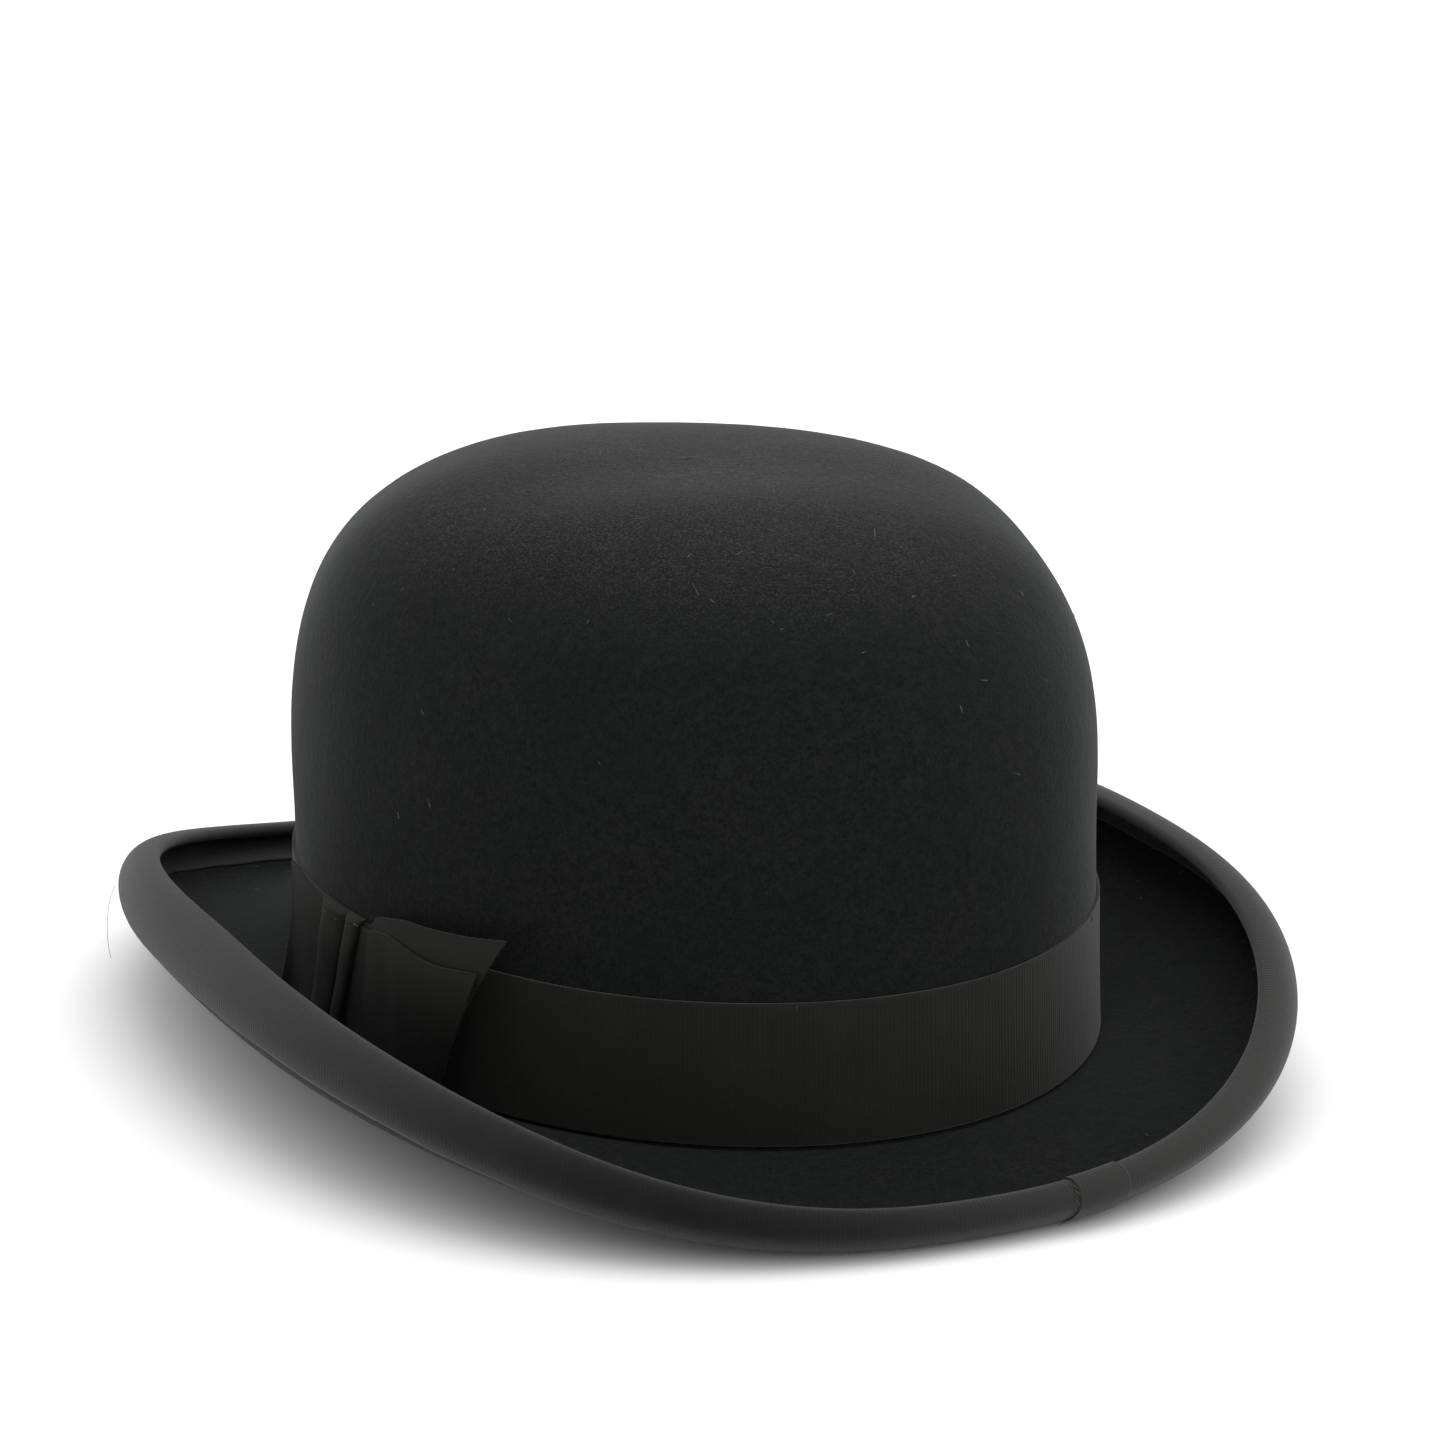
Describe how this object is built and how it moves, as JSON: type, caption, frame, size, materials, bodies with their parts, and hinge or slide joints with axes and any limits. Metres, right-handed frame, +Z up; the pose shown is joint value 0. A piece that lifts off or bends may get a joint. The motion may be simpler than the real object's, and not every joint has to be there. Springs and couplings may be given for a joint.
{
  "type": "bowler hat",
  "caption": "Stiff felt bowler hat with a rounded crown, curled ribbon-bound brim, grosgrain band with flat side bow, leather sweatband and satin lining.",
  "frame": {"origin": "middle of the hat in plan, on the surface that the brim rests on at front and back", "axes": "+Z up through the crown, -Y towards the front of the hat, +X towards the wearer's left side, where the bow is"},
  "size_m": [0.24, 0.292, 0.1291],
  "materials": {
    "felt": "stiffened fur felt, charcoal black, short worn nap, very rough",
    "binding_ribbon": "faded black grosgrain, fine ribs across the ribbon, slightly browned",
    "band_ribbon": "black grosgrain with a warm grey cast, fine upright ribs, matt",
    "black_thread": "black cotton thread",
    "red_thread": "worn reddish thread",
    "leather": "tan sheepskin, worn and darkened by use, soft sheen",
    "cloth_tape": "dark woven cotton tape",
    "cane": "split cane reed",
    "small_ribbon": "narrow black ribbon",
    "satin": "aged ivory satin, soft sheen",
    "satin_cord": "satin-covered piping cord",
    "paper_label": "blank aged paper ticket"
  },
  "bodies": {
    "root": {"felt_body": "felt", "brim_binding": "binding_ribbon", "binding_lap": "binding_ribbon", "binding_lap_thread": "red_thread", "hat_band": "band_ribbon", "band_tack_stitches": "black_thread", "bow_knot": "band_ribbon", "bow_outer_tail": "band_ribbon", "bow_inner_tail": "band_ribbon", "bow_front_wing": "band_ribbon", "bow_stitches": "black_thread", "sweatband": "leather", "sweatband_joint_tape": "leather", "sweatband_welt": "cloth_tape", "sweatband_reed": "cane", "sweatband_stitching": "black_thread", "sweatband_bow_loops": "small_ribbon", "sweatband_bow_knot": "small_ribbon", "lining_tip": "satin", "lining_side": "satin", "lining_piping": "satin_cord", "size_label": "paper_label"}
  },
  "joints": []
}
